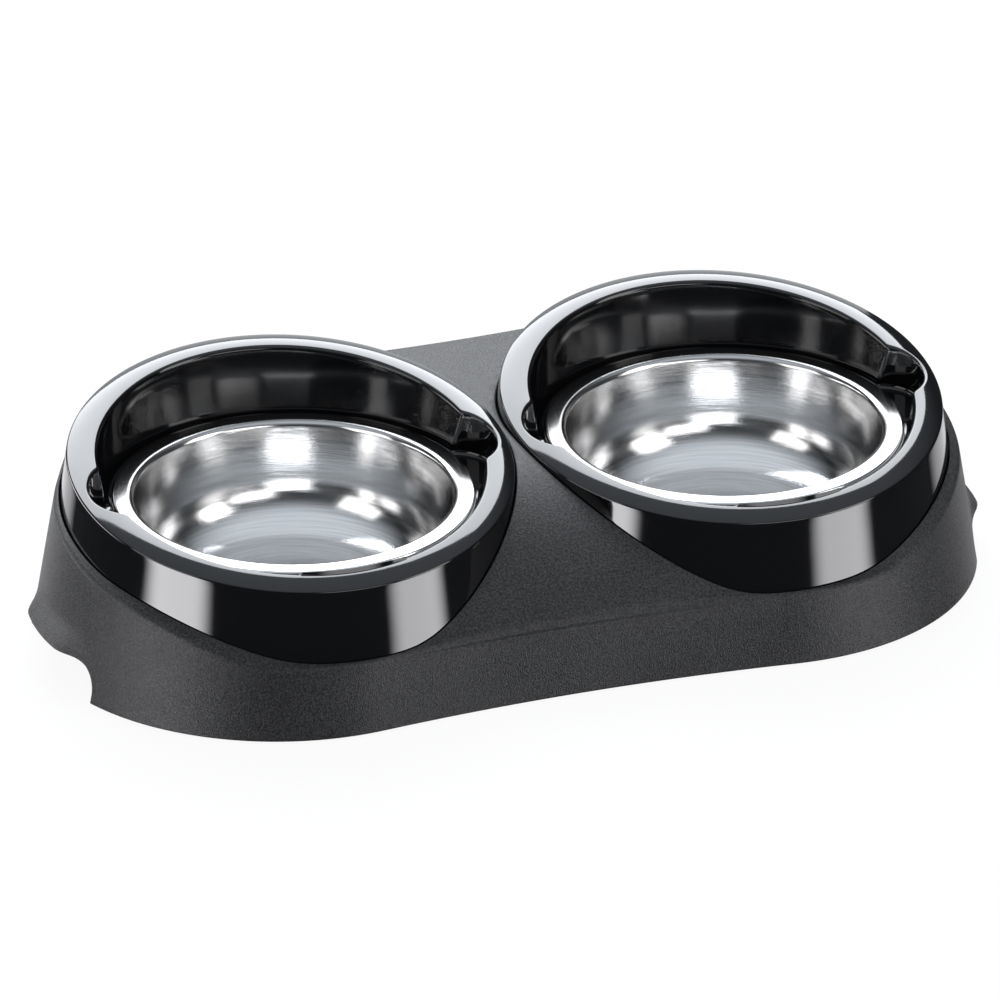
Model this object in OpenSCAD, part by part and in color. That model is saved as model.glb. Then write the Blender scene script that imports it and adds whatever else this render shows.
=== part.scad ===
// Double pet bowl: a waisted, drafted stand that carries two tilted gloss collars,
// each holding a lift-out steel bowl level inside a raised splash wall.
// The front is -Y, the bowls stand in a row along X, and the floor is at z = 0.

/* [Layout] */
// Space between the rims of the two collars
rim_space = 4.5; // [3:0.25:8]
// How far each bowl sits in front of its collar's centre
bowl_forward = 3; // [1.5:0.25:4]

/* [Stand] */
// How far the bottom edge stands out past a collar's rim
skirt_margin = 9.3; // [8.8:0.1:12]
// How far the centre of each end arc lies outside its collar's centre
end_shift = 6.75; // [5.5:0.25:9]
// How far the stand is drawn in at its waist, front and back
waist_draw = 5; // [3.6:0.1:5.6]
// Depth of the step at the waist
step_depth = 0.8; // [0.3:0.1:1.2]
// Draft of the skirt at its front and ends, in degrees
front_draft = 9.5; // [8.5:0.1:10]
// Draft of the skirt at its back, in degrees
back_draft = 2; // [1:0.1:2.4]
// Gap between the skirt's bottom edge and the floor
floor_gap = 1; // [0.6:0.1:1.5]
// Height of the step along the front and the back
step_z = 27.6; // [25:0.2:27.8]
// Lowest height of the top edge, in front of the collars
lip_z = 29.3; // [28.8:0.1:30.5]
// Height of the deck between the collars
deck_top = 71.2; // [69.5:0.1:72]
// Radius of the deck's roll down to the front
deck_roll_r = 118.5; // [114:0.5:124]
// Radius of the deck's fall at the two ends
end_fall_r = 224; // [210:2:260]
// Rounding of the top edge
edge_round = 1.5; // [0.8:0.1:1.8]
// Moulded wall thickness of the stand
stand_wall = 2.6; // [2:0.1:3]
// Thickness of the web between the two collars
web_t = 1.9; // [1.4:0.1:2.2]
// Thickness of the ribs under the deck
rib_t = 2.2; // [1.6:0.1:3]

/* [Handholds] */
// Width of each handhold arch at its foot
arch_w = 72; // [60:1:80]
// Height of each handhold arch above the bottom edge
arch_h = 15.5; // [12:0.5:18]
// Radius of the arch's upper corners
arch_corner_r = 9; // [6:0.5:11]
// How far the brow over each arch flares out
brow_flare = 2.4; // [1:0.2:3]

/* [Collars] */
// Width of the rim, from the inner edge of its flat to its outside
rim_w = 9.8; // [9.3:0.1:10.4]
// How far the rim's flat starts outside the foot of the well's wall
rim_set = 4.2; // [3.5:0.1:5]
// Tilt of the rim towards the front, in degrees
rim_tilt = 8.4; // [7.8:0.1:8.8]
// Height of the rim's top plane at the collar's centre
rim_z = 74.3; // [74:0.1:75]
// Radius of the rim's outer roll
rim_roll_r = 4; // [3:0.1:4.4]
// Radius of the rim's inner roll
rim_lip_r = 1.6; // [1:0.1:2]
// How far the drum's shoulder stands out past the rim
shoulder = 1.5; // [1:0.1:1.8]
// Draft of the drum under the rim, in degrees
drum_draft = 12.1; // [11:0.1:12.5]
// Depth of the drum below the rim's top plane, at its middle
drum_depth = 31.6; // [30:0.2:33]
// Tilt of the drum's lower edge against the rim, in degrees
drum_foot_tilt = 3; // [2:0.1:3.5]
// Moulded wall thickness of a collar
collar_wall = 2.2; // [1.8:0.1:2.4]
// Space between the bowl's rolled edge and the well's wall
well_space = 2; // [1.5:0.1:2.4]
// Taper of the well's wall, in degrees
well_taper = 11.9; // [11:0.1:12.2]
// Radius of each finger notch
notch_r = 17.3; // [15:0.1:17.5]
// How far each notch's centre lies inside the foot of the well's wall
notch_set = 6.5; // [6.3:0.1:7]
// Height of the neck that guides the bowl under its seat
neck_h = 7; // [4:0.5:10]

/* [Bowls] */
// Radius of the bowl's opening
bowl_open_r = 62.4; // [51:0.2:74]
// Width of the ring round the bowl's opening
bowl_ring_w = 7.6; // [7:0.1:8.2]
// Height of the bowl's rim above the floor
bowl_z = 60.9; // [60:0.1:61.4]
// Depth of the bowl inside
bowl_depth = 42; // [30:0.5:46]
// Thickness of the steel sheet
sheet_t = 0.8; // [0.6:0.1:1]
// Radius of the rolled edge
roll_r = 1.4; // [1.2:0.1:1.6]
// Radius between the rim and the bowl's wall
throat_r = 3; // [2:0.1:3.5]
// Radius between the bowl's wall and its floor
bowl_floor_r = 22; // [12:0.5:26]
// Draft of the bowl's wall, in degrees
bowl_draft = 7; // [4:0.5:9]

/* [Feet] */
// Radius of a rubber foot
foot_r = 8; // [6:0.25:8.5]
// Thickness of a rubber foot
foot_t = 2.8; // [2:0.1:4]
// Direction of each foot from the centre of its end arc, in degrees
foot_angle = 64; // [45:1:68]

/* [Hidden] */
$fn = 96;

// One overrun serves every cut
cut = 2;
// The collars follow the bowls that they hold
bowl_r = bowl_open_r + bowl_ring_w;
well_r = bowl_r + well_space;
notch_offset = well_r - notch_set;
rim_flat_r = well_r + rim_set;
rim_r = rim_flat_r + rim_w;
bowl_pitch = 2 * rim_r + rim_space;
// The outline's end arcs and waist follow the collars that stand on it
end_r = rim_r + skirt_margin;
end_offset = bowl_pitch / 2 + end_shift;
waist_half = end_r - waist_draw;
upper_waist_half = waist_half - step_depth;
// Clearance between a collar's drum and its socket
drum_gap = 0.3;
// Clearance under and beside the bowl's rolled edge
seat_gap = 0.3;
// Clearance between the bowl's body and the neck that guides it
neck_gap = 0.5;
// Clearance round a foot in its recess
foot_gap = 0.15;
// Lip left outside each socket at the back
back_lip = 1.6;
// Rise of the step's small slope
step_rise = 0.3;
// Distance over which the top edge levels out in front of the collars
lip_ease = 1.5;
// Where the deck starts to fall to the front
crest_y = 4;
// How far outside a collar's centre the deck starts to fall to the end
fall_shift = 0.75;
fall_x = bowl_pitch / 2 + fall_shift;
// Where the skirt's draft starts to fade towards the back, as a share of its radius
fade_from_share = 0.1;
// Segments of each end arc and of each waist arc
end_segs = 40;
waist_segs = 10;
segs = 2 * (end_segs + waist_segs);

// Rings of the skirt, as shares of the height from the bottom edge to the step
skirt_ring_shares = [0, 0.2, 0.4, 0.52, 0.64, 0.76, 0.88, 1];
// Rings of the rounded edge, as shares of its turn
edge_ring_shares = [0, 0.33, 0.67, 1];
// Rings of the deck, as shares of the way from its edge to the middle line
deck_ring_shares = [0.05, 0.12, 0.2, 0.29, 0.39, 0.5, 0.62, 0.75, 0.88, 0.97];
// Rings of the hollow's wall, as shares of its height
hollow_ring_shares = [0, 0.5, 1];

function lerp(a, b, share) = a + (b - a) * share;
function smooth(share) = let (s = max(0, min(1, share))) s * s * (3 - 2 * s);
function with_z(p, z) = [p[0], p[1], z];
function arc(centre, r, from, to, steps) =
    [for (k = [0:steps]) let (a = lerp(from, to, k / steps)) centre + r * [cos(a), sin(a)]];

// The outline: two end arcs joined by hollow waist arcs that run tangent to them
function waist_arc_r(half) =
    (end_offset * end_offset + half * half - end_r * end_r) / (2 * (end_r - half));
function waist_arc_turn(half) = atan(end_offset / (half + waist_arc_r(half)));

// Point i of the outline, drawn in by inset: the right end, the back waist, the left end, the front waist
function outline_point(i, inset, half) =
    let (k = i % (end_segs + waist_segs))
    let (turned = i < end_segs + waist_segs ? 1 : -1)
    let (turn = waist_arc_turn(half))
    let (end_a = lerp(-90 - turn, 90 + turn, k / end_segs))
    let (waist_a = lerp(turn, -turn, (k - end_segs) / waist_segs))
    let (r = waist_arc_r(half) + inset)
    turned * (k <= end_segs
        ? [end_offset + (end_r - inset) * cos(end_a), (end_r - inset) * sin(end_a)]
        : [r * sin(waist_a), half + r - inset - r * cos(waist_a)]);

// The draft fades towards the back, so that the collars fit inside the skirt
function draft_run(i) =
    let (y = outline_point(i, 0, waist_half)[1] / end_r)
    lerp(tan(front_draft), tan(back_draft), smooth((y - fade_from_share) / (1 - fade_from_share)));

// The brow flares out over a handhold, most at the arch's crown
function brow(y, z) =
    let (across = smooth(4 * (0.45 - abs(y) / arch_w)))
    let (down = max(0, min(1, (step_z - z) / (step_z - floor_gap - arch_h))))
    brow_flare * across * down * down;

function skirt_point(i, z, half) =
    let (inset = draft_run(i) * (z - floor_gap))
    let (p = outline_point(i, inset, half))
    with_z(outline_point(i, inset - (abs(p[0]) > end_offset ? brow(p[1], z) : 0), half), z);

// The top of the stand: it rolls down to the front, falls to the ends and levels out at the lip
function fall(distance, r) = r - sqrt(r * r - distance * distance);
function top_z(x, y) =
    let (z = deck_top - fall(min(0, y - crest_y), deck_roll_r) - fall(max(0, abs(x) - fall_x), end_fall_r))
    lip_z + lip_ease * ln(1 + exp((z - lip_z) / lip_ease));

// The edge at point i, where the drafted skirt meets the top
function edge_point(i, z = lip_z, tries = 5) =
    let (p = outline_point(i, draft_run(i) * (z - floor_gap), upper_waist_half))
    tries == 0 ? with_z(p, z) : edge_point(i, top_z(p[0], p[1]), tries - 1);
edge_points = [for (i = [0:segs - 1]) edge_point(i)];

// A point of the top, drawn in from the edge
function top_point(i, inset) =
    let (p = outline_point(i, draft_run(i) * (edge_points[i][2] - floor_gap) + inset, upper_waist_half))
    with_z(p, top_z(p[0], p[1]));

// The rounded edge is a curve that leaves the skirt and meets the top smoothly
function round_point(i, share) =
    let (r = min(edge_round, 0.9 * (edge_points[i][2] - step_z - step_rise)))
    let (from = skirt_point(i, edge_points[i][2] - r, upper_waist_half))
    lerp(lerp(from, edge_points[i], share), lerp(edge_points[i], top_point(i, r), share), share);

// A point of the top or of the hollow's ceiling, on its way from the edge to the middle line
function inward_point(p, share, drop) =
    let (x = lerp(p[0], max(-end_offset, min(end_offset, p[0])), share))
    let (y = lerp(p[1], 0, share))
    [x, y, top_z(x, y) - drop];

outer_rings = concat(
    [for (s = skirt_ring_shares) [for (i = [0:segs - 1]) skirt_point(i, lerp(floor_gap, step_z, s), waist_half)]],
    [[for (i = [0:segs - 1]) skirt_point(i, step_z + step_rise, upper_waist_half)]],
    [for (s = edge_ring_shares) [for (i = [0:segs - 1]) round_point(i, s)]],
    [for (s = deck_ring_shares) [for (i = [0:segs - 1]) inward_point(round_point(i, 1), s, 0)]]);

// The hollow follows the outside, one wall further in
function hollow_edge_point(i) = top_point(i, stand_wall) - [0, 0, stand_wall];
function hollow_wall_point(i, share) =
    let (z = lerp(-cut, hollow_edge_point(i)[2], share))
    with_z(outline_point(i, draft_run(i) * (z - floor_gap) + stand_wall, upper_waist_half), z);

hollow_rings = concat(
    [for (s = hollow_ring_shares) [for (i = [0:segs - 1])
        s < 1 ? hollow_wall_point(i, s) : hollow_edge_point(i)]],
    [for (s = deck_ring_shares) [for (i = [0:segs - 1]) inward_point(hollow_edge_point(i), s, stand_wall)]]);

// A closed solid through rings of points, with both ends closed by strips from front to back
function mirror_index(i) = (end_segs - i + segs) % segs;
function strip(a, b, c, d) = concat(b == c ? [] : [[b, c, d]], a == d ? [] : [[a, b, d]]);
function cap(base) =
    [for (i = [end_segs / 2:end_segs / 2 + segs / 2 - 1])
        each strip(base + i, base + i + 1, base + mirror_index(i + 1), base + mirror_index(i))];
function flipped(faces) = [for (f = faces) [f[2], f[1], f[0]]];

module lofted(rings) {
    last = (len(rings) - 1) * segs;
    sides = [for (base = [0:segs:last - segs]) for (i = [0:segs - 1])
        let (k = (i + 1) % segs)
        each [[base + i, base + segs + k, base + k], [base + i, base + segs + i, base + segs + k]]];
    polyhedron([for (ring = rings) each ring], concat(sides, cap(0), flipped(cap(last))));
}

// Children in a collar's own frame, where z = 0 is the rim's top plane; side is -1 for the left one
module in_collar(side) {
    translate([side * bowl_pitch / 2, 0, rim_z]) rotate([rim_tilt, 0, 0]) children();
}

// Children on a bowl's upright axis, at floor level
module on_bowl_axis(side) {
    translate([side * bowl_pitch / 2, -bowl_forward, 0]) children();
}

module revolved(points) {
    rotate_extrude() polygon(points);
}

// Largest reach of anything in a collar, from its centre
reach = 2 * rim_r;
rim_edge_depth = rim_roll_r + 0.15 * rim_roll_r;
groove = 0.4 * shoulder;
shoulder_depth = rim_edge_depth + groove;
drum_run = tan(drum_draft);
function drum_r(depth) = rim_r + shoulder + drum_run * (depth - shoulder_depth);

// What lies inside a collar's socket: above the drum's lower edge, beside the web and inside the skirt
module socket_limits(side, gap) {
    skin_r = end_r - tan(back_draft) * deck_top - back_lip - gap;
    web = web_t / 2 + gap;
    intersection() {
        in_collar(side) translate([0, 0, -drum_depth]) rotate([drum_foot_tilt, 0, 0])
            translate([-reach, -reach, 0]) cube([2 * reach, 2 * reach, reach]);
        union() {
            translate([side * end_offset, 0, 0]) cylinder(h = reach, r = skin_r);
            translate([side > 0 ? 0 : -end_offset, -skin_r, 0]) cube([end_offset, 2 * skin_r, reach]);
        }
        translate([side > 0 ? web : -web - 2 * reach, -reach, 0]) cube([2 * reach, 2 * reach, reach]);
    }
}

// The drum's outside, widened by gap for the socket that it fits
module drum_core(side, gap, top) {
    foot = drum_depth + rim_r * tan(drum_foot_tilt) + cut;
    intersection() {
        in_collar(side) revolved([[0, top], [drum_r(-top) + gap, top], [drum_r(foot) + gap, -foot], [0, -foot]]);
        socket_limits(side, drum_gap - gap);
    }
}

// Half profile of the collar's rim, its groove and its shoulder, drawn in by inset
function rim_profile(inset) = let (roll = rim_roll_r - inset) concat(
    [[0, -inset]],
    arc([rim_r - rim_roll_r, -rim_roll_r], roll, 90, 0, 8),
    inset > 0 ? [] : [
        [rim_r, -rim_edge_depth],
        [rim_r - groove, -rim_edge_depth - groove / 2],
        [rim_r - groove, -shoulder_depth]],
    [[drum_r(shoulder_depth) - inset - groove, -shoulder_depth - inset],
     [drum_r(shoulder_depth) - inset, -shoulder_depth - inset - groove]]);

module drum_shell(side) {
    foot = drum_depth + rim_r * tan(drum_foot_tilt) + cut;
    intersection() {
        in_collar(side) difference() {
            revolved(concat(rim_profile(0), [[drum_r(foot), -foot], [0, -foot]]));
            revolved(concat(rim_profile(collar_wall),
                [[drum_r(foot + cut) - collar_wall, -foot - cut], [0, -foot - cut]]));
        }
        socket_limits(side, drum_gap);
    }
}

// The well: an upright cone that opens upwards from the bowl's seat
seat_z = bowl_z - 2 * roll_r - seat_gap;
well_run = tan(well_taper);
well_top = rim_z + rim_r * sin(rim_tilt) + cut;
neck_r = bowl_open_r + sheet_t + neck_gap;

module well_cone(extra, from) {
    translate([0, 0, from])
        cylinder(h = well_top - from,
                 r1 = well_r + extra + well_run * (from - seat_z),
                 r2 = well_r + extra + well_run * (well_top - seat_z));
}

module at_notches() {
    for (s = [-1, 1]) translate([s * notch_offset, 0, 0]) children();
}

module well_shell() {
    well_cone(collar_wall, seat_z - collar_wall);
    at_notches() translate([0, 0, seat_z - collar_wall])
        cylinder(h = well_top - seat_z + collar_wall, r = notch_r + 1.2 * collar_wall);
    translate([0, 0, seat_z - neck_h]) cylinder(h = neck_h, r = neck_r + collar_wall);
}

module well_cut() {
    well_cone(0, seat_z);
    at_notches() translate([0, 0, seat_z]) cylinder(h = well_top - seat_z, r = notch_r);
    translate([0, 0, seat_z - neck_h - cut]) cylinder(h = neck_h + 2 * cut, r = neck_r);
}

module rim_lip_cut() {
    inner = rim_flat_r - rim_lip_r;
    revolved(concat([[inner - cut, -rim_lip_r]],
        arc([rim_flat_r, -rim_lip_r], rim_lip_r, 180, 90, 8), [[rim_flat_r, cut], [inner - cut, cut]]));
}

module holder(side) {
    color("#0c0d0f") difference() {
        union() {
            drum_shell(side);
            intersection() {
                on_bowl_axis(side) well_shell();
                in_collar(side) revolved(concat(rim_profile(0), [[drum_r(reach), -reach], [0, -reach]]));
            }
        }
        on_bowl_axis(side) well_cut();
        in_collar(side) rim_lip_cut();
    }
}

// The bowl: pressed from one sheet, with a rolled edge; offset moves the profile to the sheet's underside
floor_z = bowl_z - bowl_depth;
throat_c = [bowl_open_r + throat_r, bowl_z - throat_r];
wall_top = throat_c + throat_r * [-cos(bowl_draft), sin(bowl_draft)];
wall_len = (wall_top[1] + bowl_floor_r * sin(bowl_draft) - floor_z - bowl_floor_r) / cos(bowl_draft);
floor_c = [wall_top[0] - wall_len * sin(bowl_draft) - bowl_floor_r * cos(bowl_draft), floor_z + bowl_floor_r];
roll_c = [bowl_r - roll_r, bowl_z - roll_r];

function bowl_side(offset) = concat([[0, floor_z - offset]],
    arc(floor_c, bowl_floor_r + offset, -90, -bowl_draft, 16),
    arc(throat_c, throat_r - offset, 180 - bowl_draft, 90, 8));
function reversed(points) = [for (k = [len(points) - 1:-1:0]) points[k]];

module bowl(side) {
    color("#c9ccd0") on_bowl_axis(side)
        revolved(concat(bowl_side(0), arc(roll_c, roll_r, 90, -180, 20), reversed(bowl_side(sheet_t))));
}

// The ribs stand under the collars' lower edges and tie the deck to the skirt
rib_x = 0.66 * rim_r;
rib_y = 0.65 * end_r;

// The feet lie just inside the skirt's wall
foot_reach = end_r - stand_wall - foot_r;
foot_x = end_offset + foot_reach * cos(foot_angle);
foot_y = foot_reach * sin(foot_angle);

module at_feet() {
    for (x = [-foot_x, foot_x]) for (y = [-foot_y, foot_y]) translate([x, y, 0]) children();
}

module bosses() {
    at_feet() translate([0, 0, -cut])
        cylinder(h = cut + foot_t + 2 * stand_wall, r = foot_r + stand_wall);
}

module ribs() {
    for (side = [-1, 1]) for (s = [-1, 1]) for (front = [-1, 1])
        translate([side * bowl_pitch / 2 + s * rib_x - rib_t / 2, front > 0 ? rib_y : -rib_y - end_r, 2 * floor_gap])
            cube([rib_t, end_r, deck_top]);
}

module hollow() {
    difference() {
        lofted(hollow_rings);
        bosses();
        ribs();
    }
}

module arch_profile() {
    top = floor_gap + arch_h;
    polygon(concat([[-arch_w / 2, -cut]],
        arc([-arch_w / 2 + arch_corner_r, top - arch_corner_r], arch_corner_r, 180, 90, 10),
        arc([arch_w / 2 - arch_corner_r, top - arch_corner_r], arch_corner_r, 90, 0, 10),
        [[arch_w / 2, -cut]]));
}

module handholds() {
    for (side = [-1, 1]) translate([side * (end_offset + end_r), 0, 0]) rotate([90, 0, 90])
        linear_extrude(height = end_r, center = true) arch_profile();
}

module stand() {
    color("#3e3f42") difference() {
        lofted(outer_rings);
        hollow();
        for (side = [-1, 1]) drum_core(side, drum_gap, deck_top - rim_z + shoulder_depth);
        handholds();
        at_feet() cylinder(h = foot_t, r = foot_r + foot_gap);
    }
}

// A foot, glued into its recess; sx and sy say which corner
module foot(sx, sy) {
    chamfer = 0.2 * foot_t;
    color("#b9b9b4") translate([sx * foot_x, sy * foot_y, 0])
        revolved([[0, 0], [foot_r - chamfer, 0], [foot_r, chamfer], [foot_r, foot_t], [0, foot_t]]);
}

stand();
holder(-1);  // left_holder
holder(1);  // right_holder
bowl(-1);  // left_bowl
bowl(1);  // right_bowl
foot(-1, -1);  // front_left_foot
foot(1, -1);  // front_right_foot
foot(-1, 1);  // back_left_foot
foot(1, 1);  // back_right_foot
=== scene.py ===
# Double pet bowl: a matte stand, two tilted gloss collars and two lift-out steel bowls.
# Everything is in metres in the CAD model's frame: the front is -Y and the floor is z = 0.
from itertools import product
from math import asin, atan, atan2, cos, exp, hypot, log, pi, radians, sin, sqrt, tan

import bpy
from mathutils import Matrix, Vector


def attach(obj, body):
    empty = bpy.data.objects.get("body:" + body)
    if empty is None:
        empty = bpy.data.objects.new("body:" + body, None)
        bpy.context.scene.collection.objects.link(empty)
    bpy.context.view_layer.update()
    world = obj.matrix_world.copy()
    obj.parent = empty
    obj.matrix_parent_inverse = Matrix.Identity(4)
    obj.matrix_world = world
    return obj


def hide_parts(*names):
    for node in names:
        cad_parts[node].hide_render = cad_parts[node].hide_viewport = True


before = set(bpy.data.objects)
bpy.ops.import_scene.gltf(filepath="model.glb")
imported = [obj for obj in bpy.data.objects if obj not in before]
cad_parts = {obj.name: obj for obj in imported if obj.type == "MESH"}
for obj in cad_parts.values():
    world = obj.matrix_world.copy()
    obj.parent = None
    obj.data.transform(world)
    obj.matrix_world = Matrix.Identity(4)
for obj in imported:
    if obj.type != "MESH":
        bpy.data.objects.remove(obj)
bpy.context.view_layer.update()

# The studio: a long lens looks down on the bowls from the front left, as the photograph does.
# A white sweep carries the soft shadow, soft boxes light the pieces, and glow cards show in the gloss.
scene = bpy.context.scene
scene.view_settings.view_transform = "Standard"
AZIMUTH, ELEVATION, ROLL = radians(-20), radians(26.18), radians(0.207)
DISTANCE = 4.816
AIM_HEIGHT = 0.072
AIM_RIGHT, AIM_UP = -0.0028, -0.0278
LENS_MM, SENSOR_MM = 450.1, 36

back = Vector((sin(AZIMUTH) * cos(ELEVATION), -cos(AZIMUTH) * cos(ELEVATION), sin(ELEVATION)))
right = Vector((cos(AZIMUTH), sin(AZIMUTH), 0))
up = back.cross(right)
lens = bpy.data.cameras.new("camera")
lens.lens = LENS_MM
lens.sensor_width = SENSOR_MM
camera = bpy.data.objects.new("camera", lens)
scene.collection.objects.link(camera)
scene.camera = camera
eye = Vector((0, 0, AIM_HEIGHT)) + AIM_RIGHT * right + AIM_UP * up + DISTANCE * back
turned_right = cos(ROLL) * right + sin(ROLL) * up
turned_up = cos(ROLL) * up - sin(ROLL) * right
camera.matrix_world = Matrix.Translation(eye) @ Matrix((turned_right, turned_up, back)).transposed().to_4x4()


class Shade:
    """A material's socket. Arithmetic on it adds Math nodes, and node() adds any other node."""

    def __init__(self, tree, socket=None):
        self.tree = tree
        self.socket = socket

    def node(self, kind, settings=None, inputs=None, output=0):
        made = self.tree.nodes.new(kind)
        for name, value in (settings or {}).items():
            if name == "stops":
                ramp = made.color_ramp
                while len(ramp.elements) < len(value):
                    ramp.elements.new(1)
                for stop, (place, shade) in zip(ramp.elements, value):
                    stop.position = place
                    stop.color = (*shade, 1)
            else:
                setattr(made, name, value)
        for name, value in (inputs or {}).items():
            if isinstance(value, Shade):
                self.tree.links.new(value.socket, made.inputs[name])
            else:
                made.inputs[name].default_value = value
        return Shade(self.tree, made.outputs[output] if made.outputs else None)

    def maths(self, operation, *values):
        return self.node("ShaderNodeMath", {"operation": operation}, dict(enumerate(values)))

    def __add__(self, other):
        return self.maths("ADD", self, other)

    def __rsub__(self, other):
        return self.maths("SUBTRACT", other, self)

    def __mul__(self, other):
        return self.maths("MULTIPLY", self, other)

    __radd__ = __add__
    __rmul__ = __mul__


def new_material(name):
    """An empty node tree and a Shade to build it with."""
    material = bpy.data.materials.new(name)
    material.use_nodes = True
    material.node_tree.nodes.clear()
    return material, Shade(material.node_tree)


SWEEP_R = 9
PAPER_GREY = 0.82
SEEN_WHITE = 0.93


def paint_sweep():
    """White paper that takes a shadow: to the camera it is nearly all glow, so that it stays white."""
    material, shade = new_material("sweep")
    path = {name: shade.node("ShaderNodeLightPath", output=name)
            for name in ("Is Camera Ray", "Is Glossy Ray", "Is Transmission Ray")}
    seen = path["Is Camera Ray"] + path["Is Glossy Ray"] + path["Is Transmission Ray"]
    paper = shade.node("ShaderNodeBsdfDiffuse", inputs={"Color": (PAPER_GREY,) * 3 + (1,)})
    white = shade.node("ShaderNodeEmission", inputs={"Color": (1, 1, 1, 1), "Strength": 1.0})
    mixed = shade.node("ShaderNodeMixShader", inputs={0: seen * SEEN_WHITE, 1: paper, 2: white})
    shade.node("ShaderNodeOutputMaterial", inputs={"Surface": mixed})
    return material


bpy.ops.object.select_all(action="DESELECT")
bpy.ops.mesh.primitive_circle_add(vertices=96, radius=SWEEP_R, fill_type="NGON", location=(0, 0, 0))
sweep = bpy.context.object
sweep.name = "sweep"
sweep.data.materials.append(paint_sweep())
sweep.visible_glossy = False

world = bpy.data.worlds.new("studio")
scene.world = world
world.use_nodes = True
world.node_tree.nodes.clear()
sky = Shade(world.node_tree)
sky_seen = sky.node("ShaderNodeLightPath", output="Is Camera Ray")
height = sky.node("ShaderNodeSeparateXYZ", inputs={0: sky.node("ShaderNodeTexCoord")}, output="Z")
glow = sky.node("ShaderNodeMapRange", {"interpolation_type": "SMOOTHSTEP"}, {
    "Value": height, "From Min": 0.5, "From Max": 0.95, "To Min": 0.08, "To Max": 0.95})
room = sky.node("ShaderNodeBackground", inputs={"Color": (0.85, 0.92, 1, 1), "Strength": glow})
open_sky = sky.node("ShaderNodeBackground", inputs={"Color": (1, 1, 1, 1), "Strength": 1.0})
sky.node("ShaderNodeOutputWorld",
         inputs={"Surface": sky.node("ShaderNodeMixShader", inputs={0: sky_seen, 1: room, 2: open_sky})})


def towards(azimuth, elevation):
    """The direction from the bowls to a light, from its bearing and height in degrees."""
    azimuth, elevation = radians(azimuth), radians(elevation)
    return Vector((sin(azimuth) * cos(elevation), -cos(azimuth) * cos(elevation), sin(elevation)))


def soft_box(name, azimuth, elevation, distance, size, radiance, tint=(1, 1, 1)):
    """A soft box that faces the bowls: radiance is how bright it looks in a mirror."""
    light = bpy.data.lights.new(name, "AREA")
    light.shape = "RECTANGLE"
    light.size, light.size_y = size
    light.energy = radiance * pi * size[0] * size[1]
    light.color = tint
    box = bpy.data.objects.new(name, light)
    scene.collection.objects.link(box)
    way = towards(azimuth, elevation)
    box.location = distance * way + Vector((0, 0, AIM_HEIGHT))
    box.rotation_euler = way.to_track_quat("Z", "Y").to_euler()


COOL = (0.93, 0.96, 1)
soft_box("rear_box", 171, 41, 1.6, (1.55, 1.05), 9, COOL)
soft_box("rear_fill", 171, 10, 1.6, (1.6, 0.65), 1.6, COOL)
soft_box("left_box", -78, 22, 1.3, (0.7, 0.8), 2.2)
soft_box("right_box", 48, 24, 1.3, (0.5, 0.8), 4.4)


def glow_card(name, azimuth, elevation, distance, size, radiance):
    """A card with faded sides that shows only in reflections: a soft box that the floor doesn't see."""
    way = towards(azimuth, elevation)
    bpy.ops.object.select_all(action="DESELECT")
    bpy.ops.mesh.primitive_plane_add(size=1, location=distance * way,
                                     rotation=way.to_track_quat("Z", "Y").to_euler())
    card = bpy.context.object
    card.name = name
    card.scale = (*size, 1)
    material, shade = new_material(name)
    across = shade.node("ShaderNodeSeparateXYZ", inputs={0: shade.node("ShaderNodeTexCoord", output="UV")})
    fade = across * (1 - across) * 4
    level = shade.node("ShaderNodeMapRange", {"interpolation_type": "SMOOTHSTEP"}, {
        "Value": fade, "From Min": 0.0, "From Max": 0.85, "To Min": 0.0, "To Max": radiance})
    glow = shade.node("ShaderNodeEmission", inputs={"Color": (0.97, 0.97, 1, 1), "Strength": level})
    shade.node("ShaderNodeOutputMaterial", inputs={"Surface": glow})
    material.cycles.emission_sampling = "NONE"
    card.data.materials.append(material)
    card.visible_camera = False
    card.visible_diffuse = False
    card.visible_shadow = False


glow_card("left_card", -73, -13, 2.0, (1.35, 1.1), 14)
glow_card("right_card", 42, -15, 2.0, (1.25, 1.1), 10)
glow_card("front_card", 12, 22, 2.0, (1.4, 0.5), 4)
glow_card("left_rear_card", -128, 9, 2.0, (2.3, 0.75), 7)
glow_card("left_low_card", -168, -22, 2.0, (1.5, 0.8), 1.4)
glow_card("right_low_card", 125, -22, 2.0, (1.5, 0.8), 1.4)


# The stand: one matte moulding, open underneath. Two end arcs joined by hollow waists make its outline,
# the skirt is drafted, most at the front, and the deck rolls down to a low lip before each collar.
# Arched handholds are cut into both ends, and ribs under the deck carry the collars' lower edges.
PITCH = 0.1765
RIM_R = 0.0862
END_R = 0.0953
END_SHIFT, WAIST_DRAW, STEP_DEPTH = 0.0055, 0.005, 0.0008
END_OFFSET = PITCH / 2 + END_SHIFT
WAIST_HALF = END_R - WAIST_DRAW
UPPER_WAIST_HALF = WAIST_HALF - STEP_DEPTH
FLOOR_GAP = 0.001
FRONT_RUN, BACK_RUN = tan(radians(9.5)), tan(radians(2))
FADE_FROM = 0.45
STEP_Z, STEP_RISE = 0.0276, 0.0003
LIP_Z, LIP_EASE = 0.0293, 0.0015
DECK_TOP = 0.0694
CREST_Y, DECK_ROLL_R = 0.002, 0.118
FALL_X, END_FALL_R, BACK_FALL = 0.089, 0.224, 0.6
EDGE_ROUND = 0.0015
BOTTOM_ROUND = 0.0007
STAND_WALL = 0.0026
ARCH_W, ARCH_H, ARCH_CORNER_R = 0.072, 0.0155, 0.012
BROW_FLARE, BROW_HALF = 0.0048, 0.45
MERGE, SLIVER = 1e-6, 2e-5
END_STEPS, WAIST_STEPS = 120, 30
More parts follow.
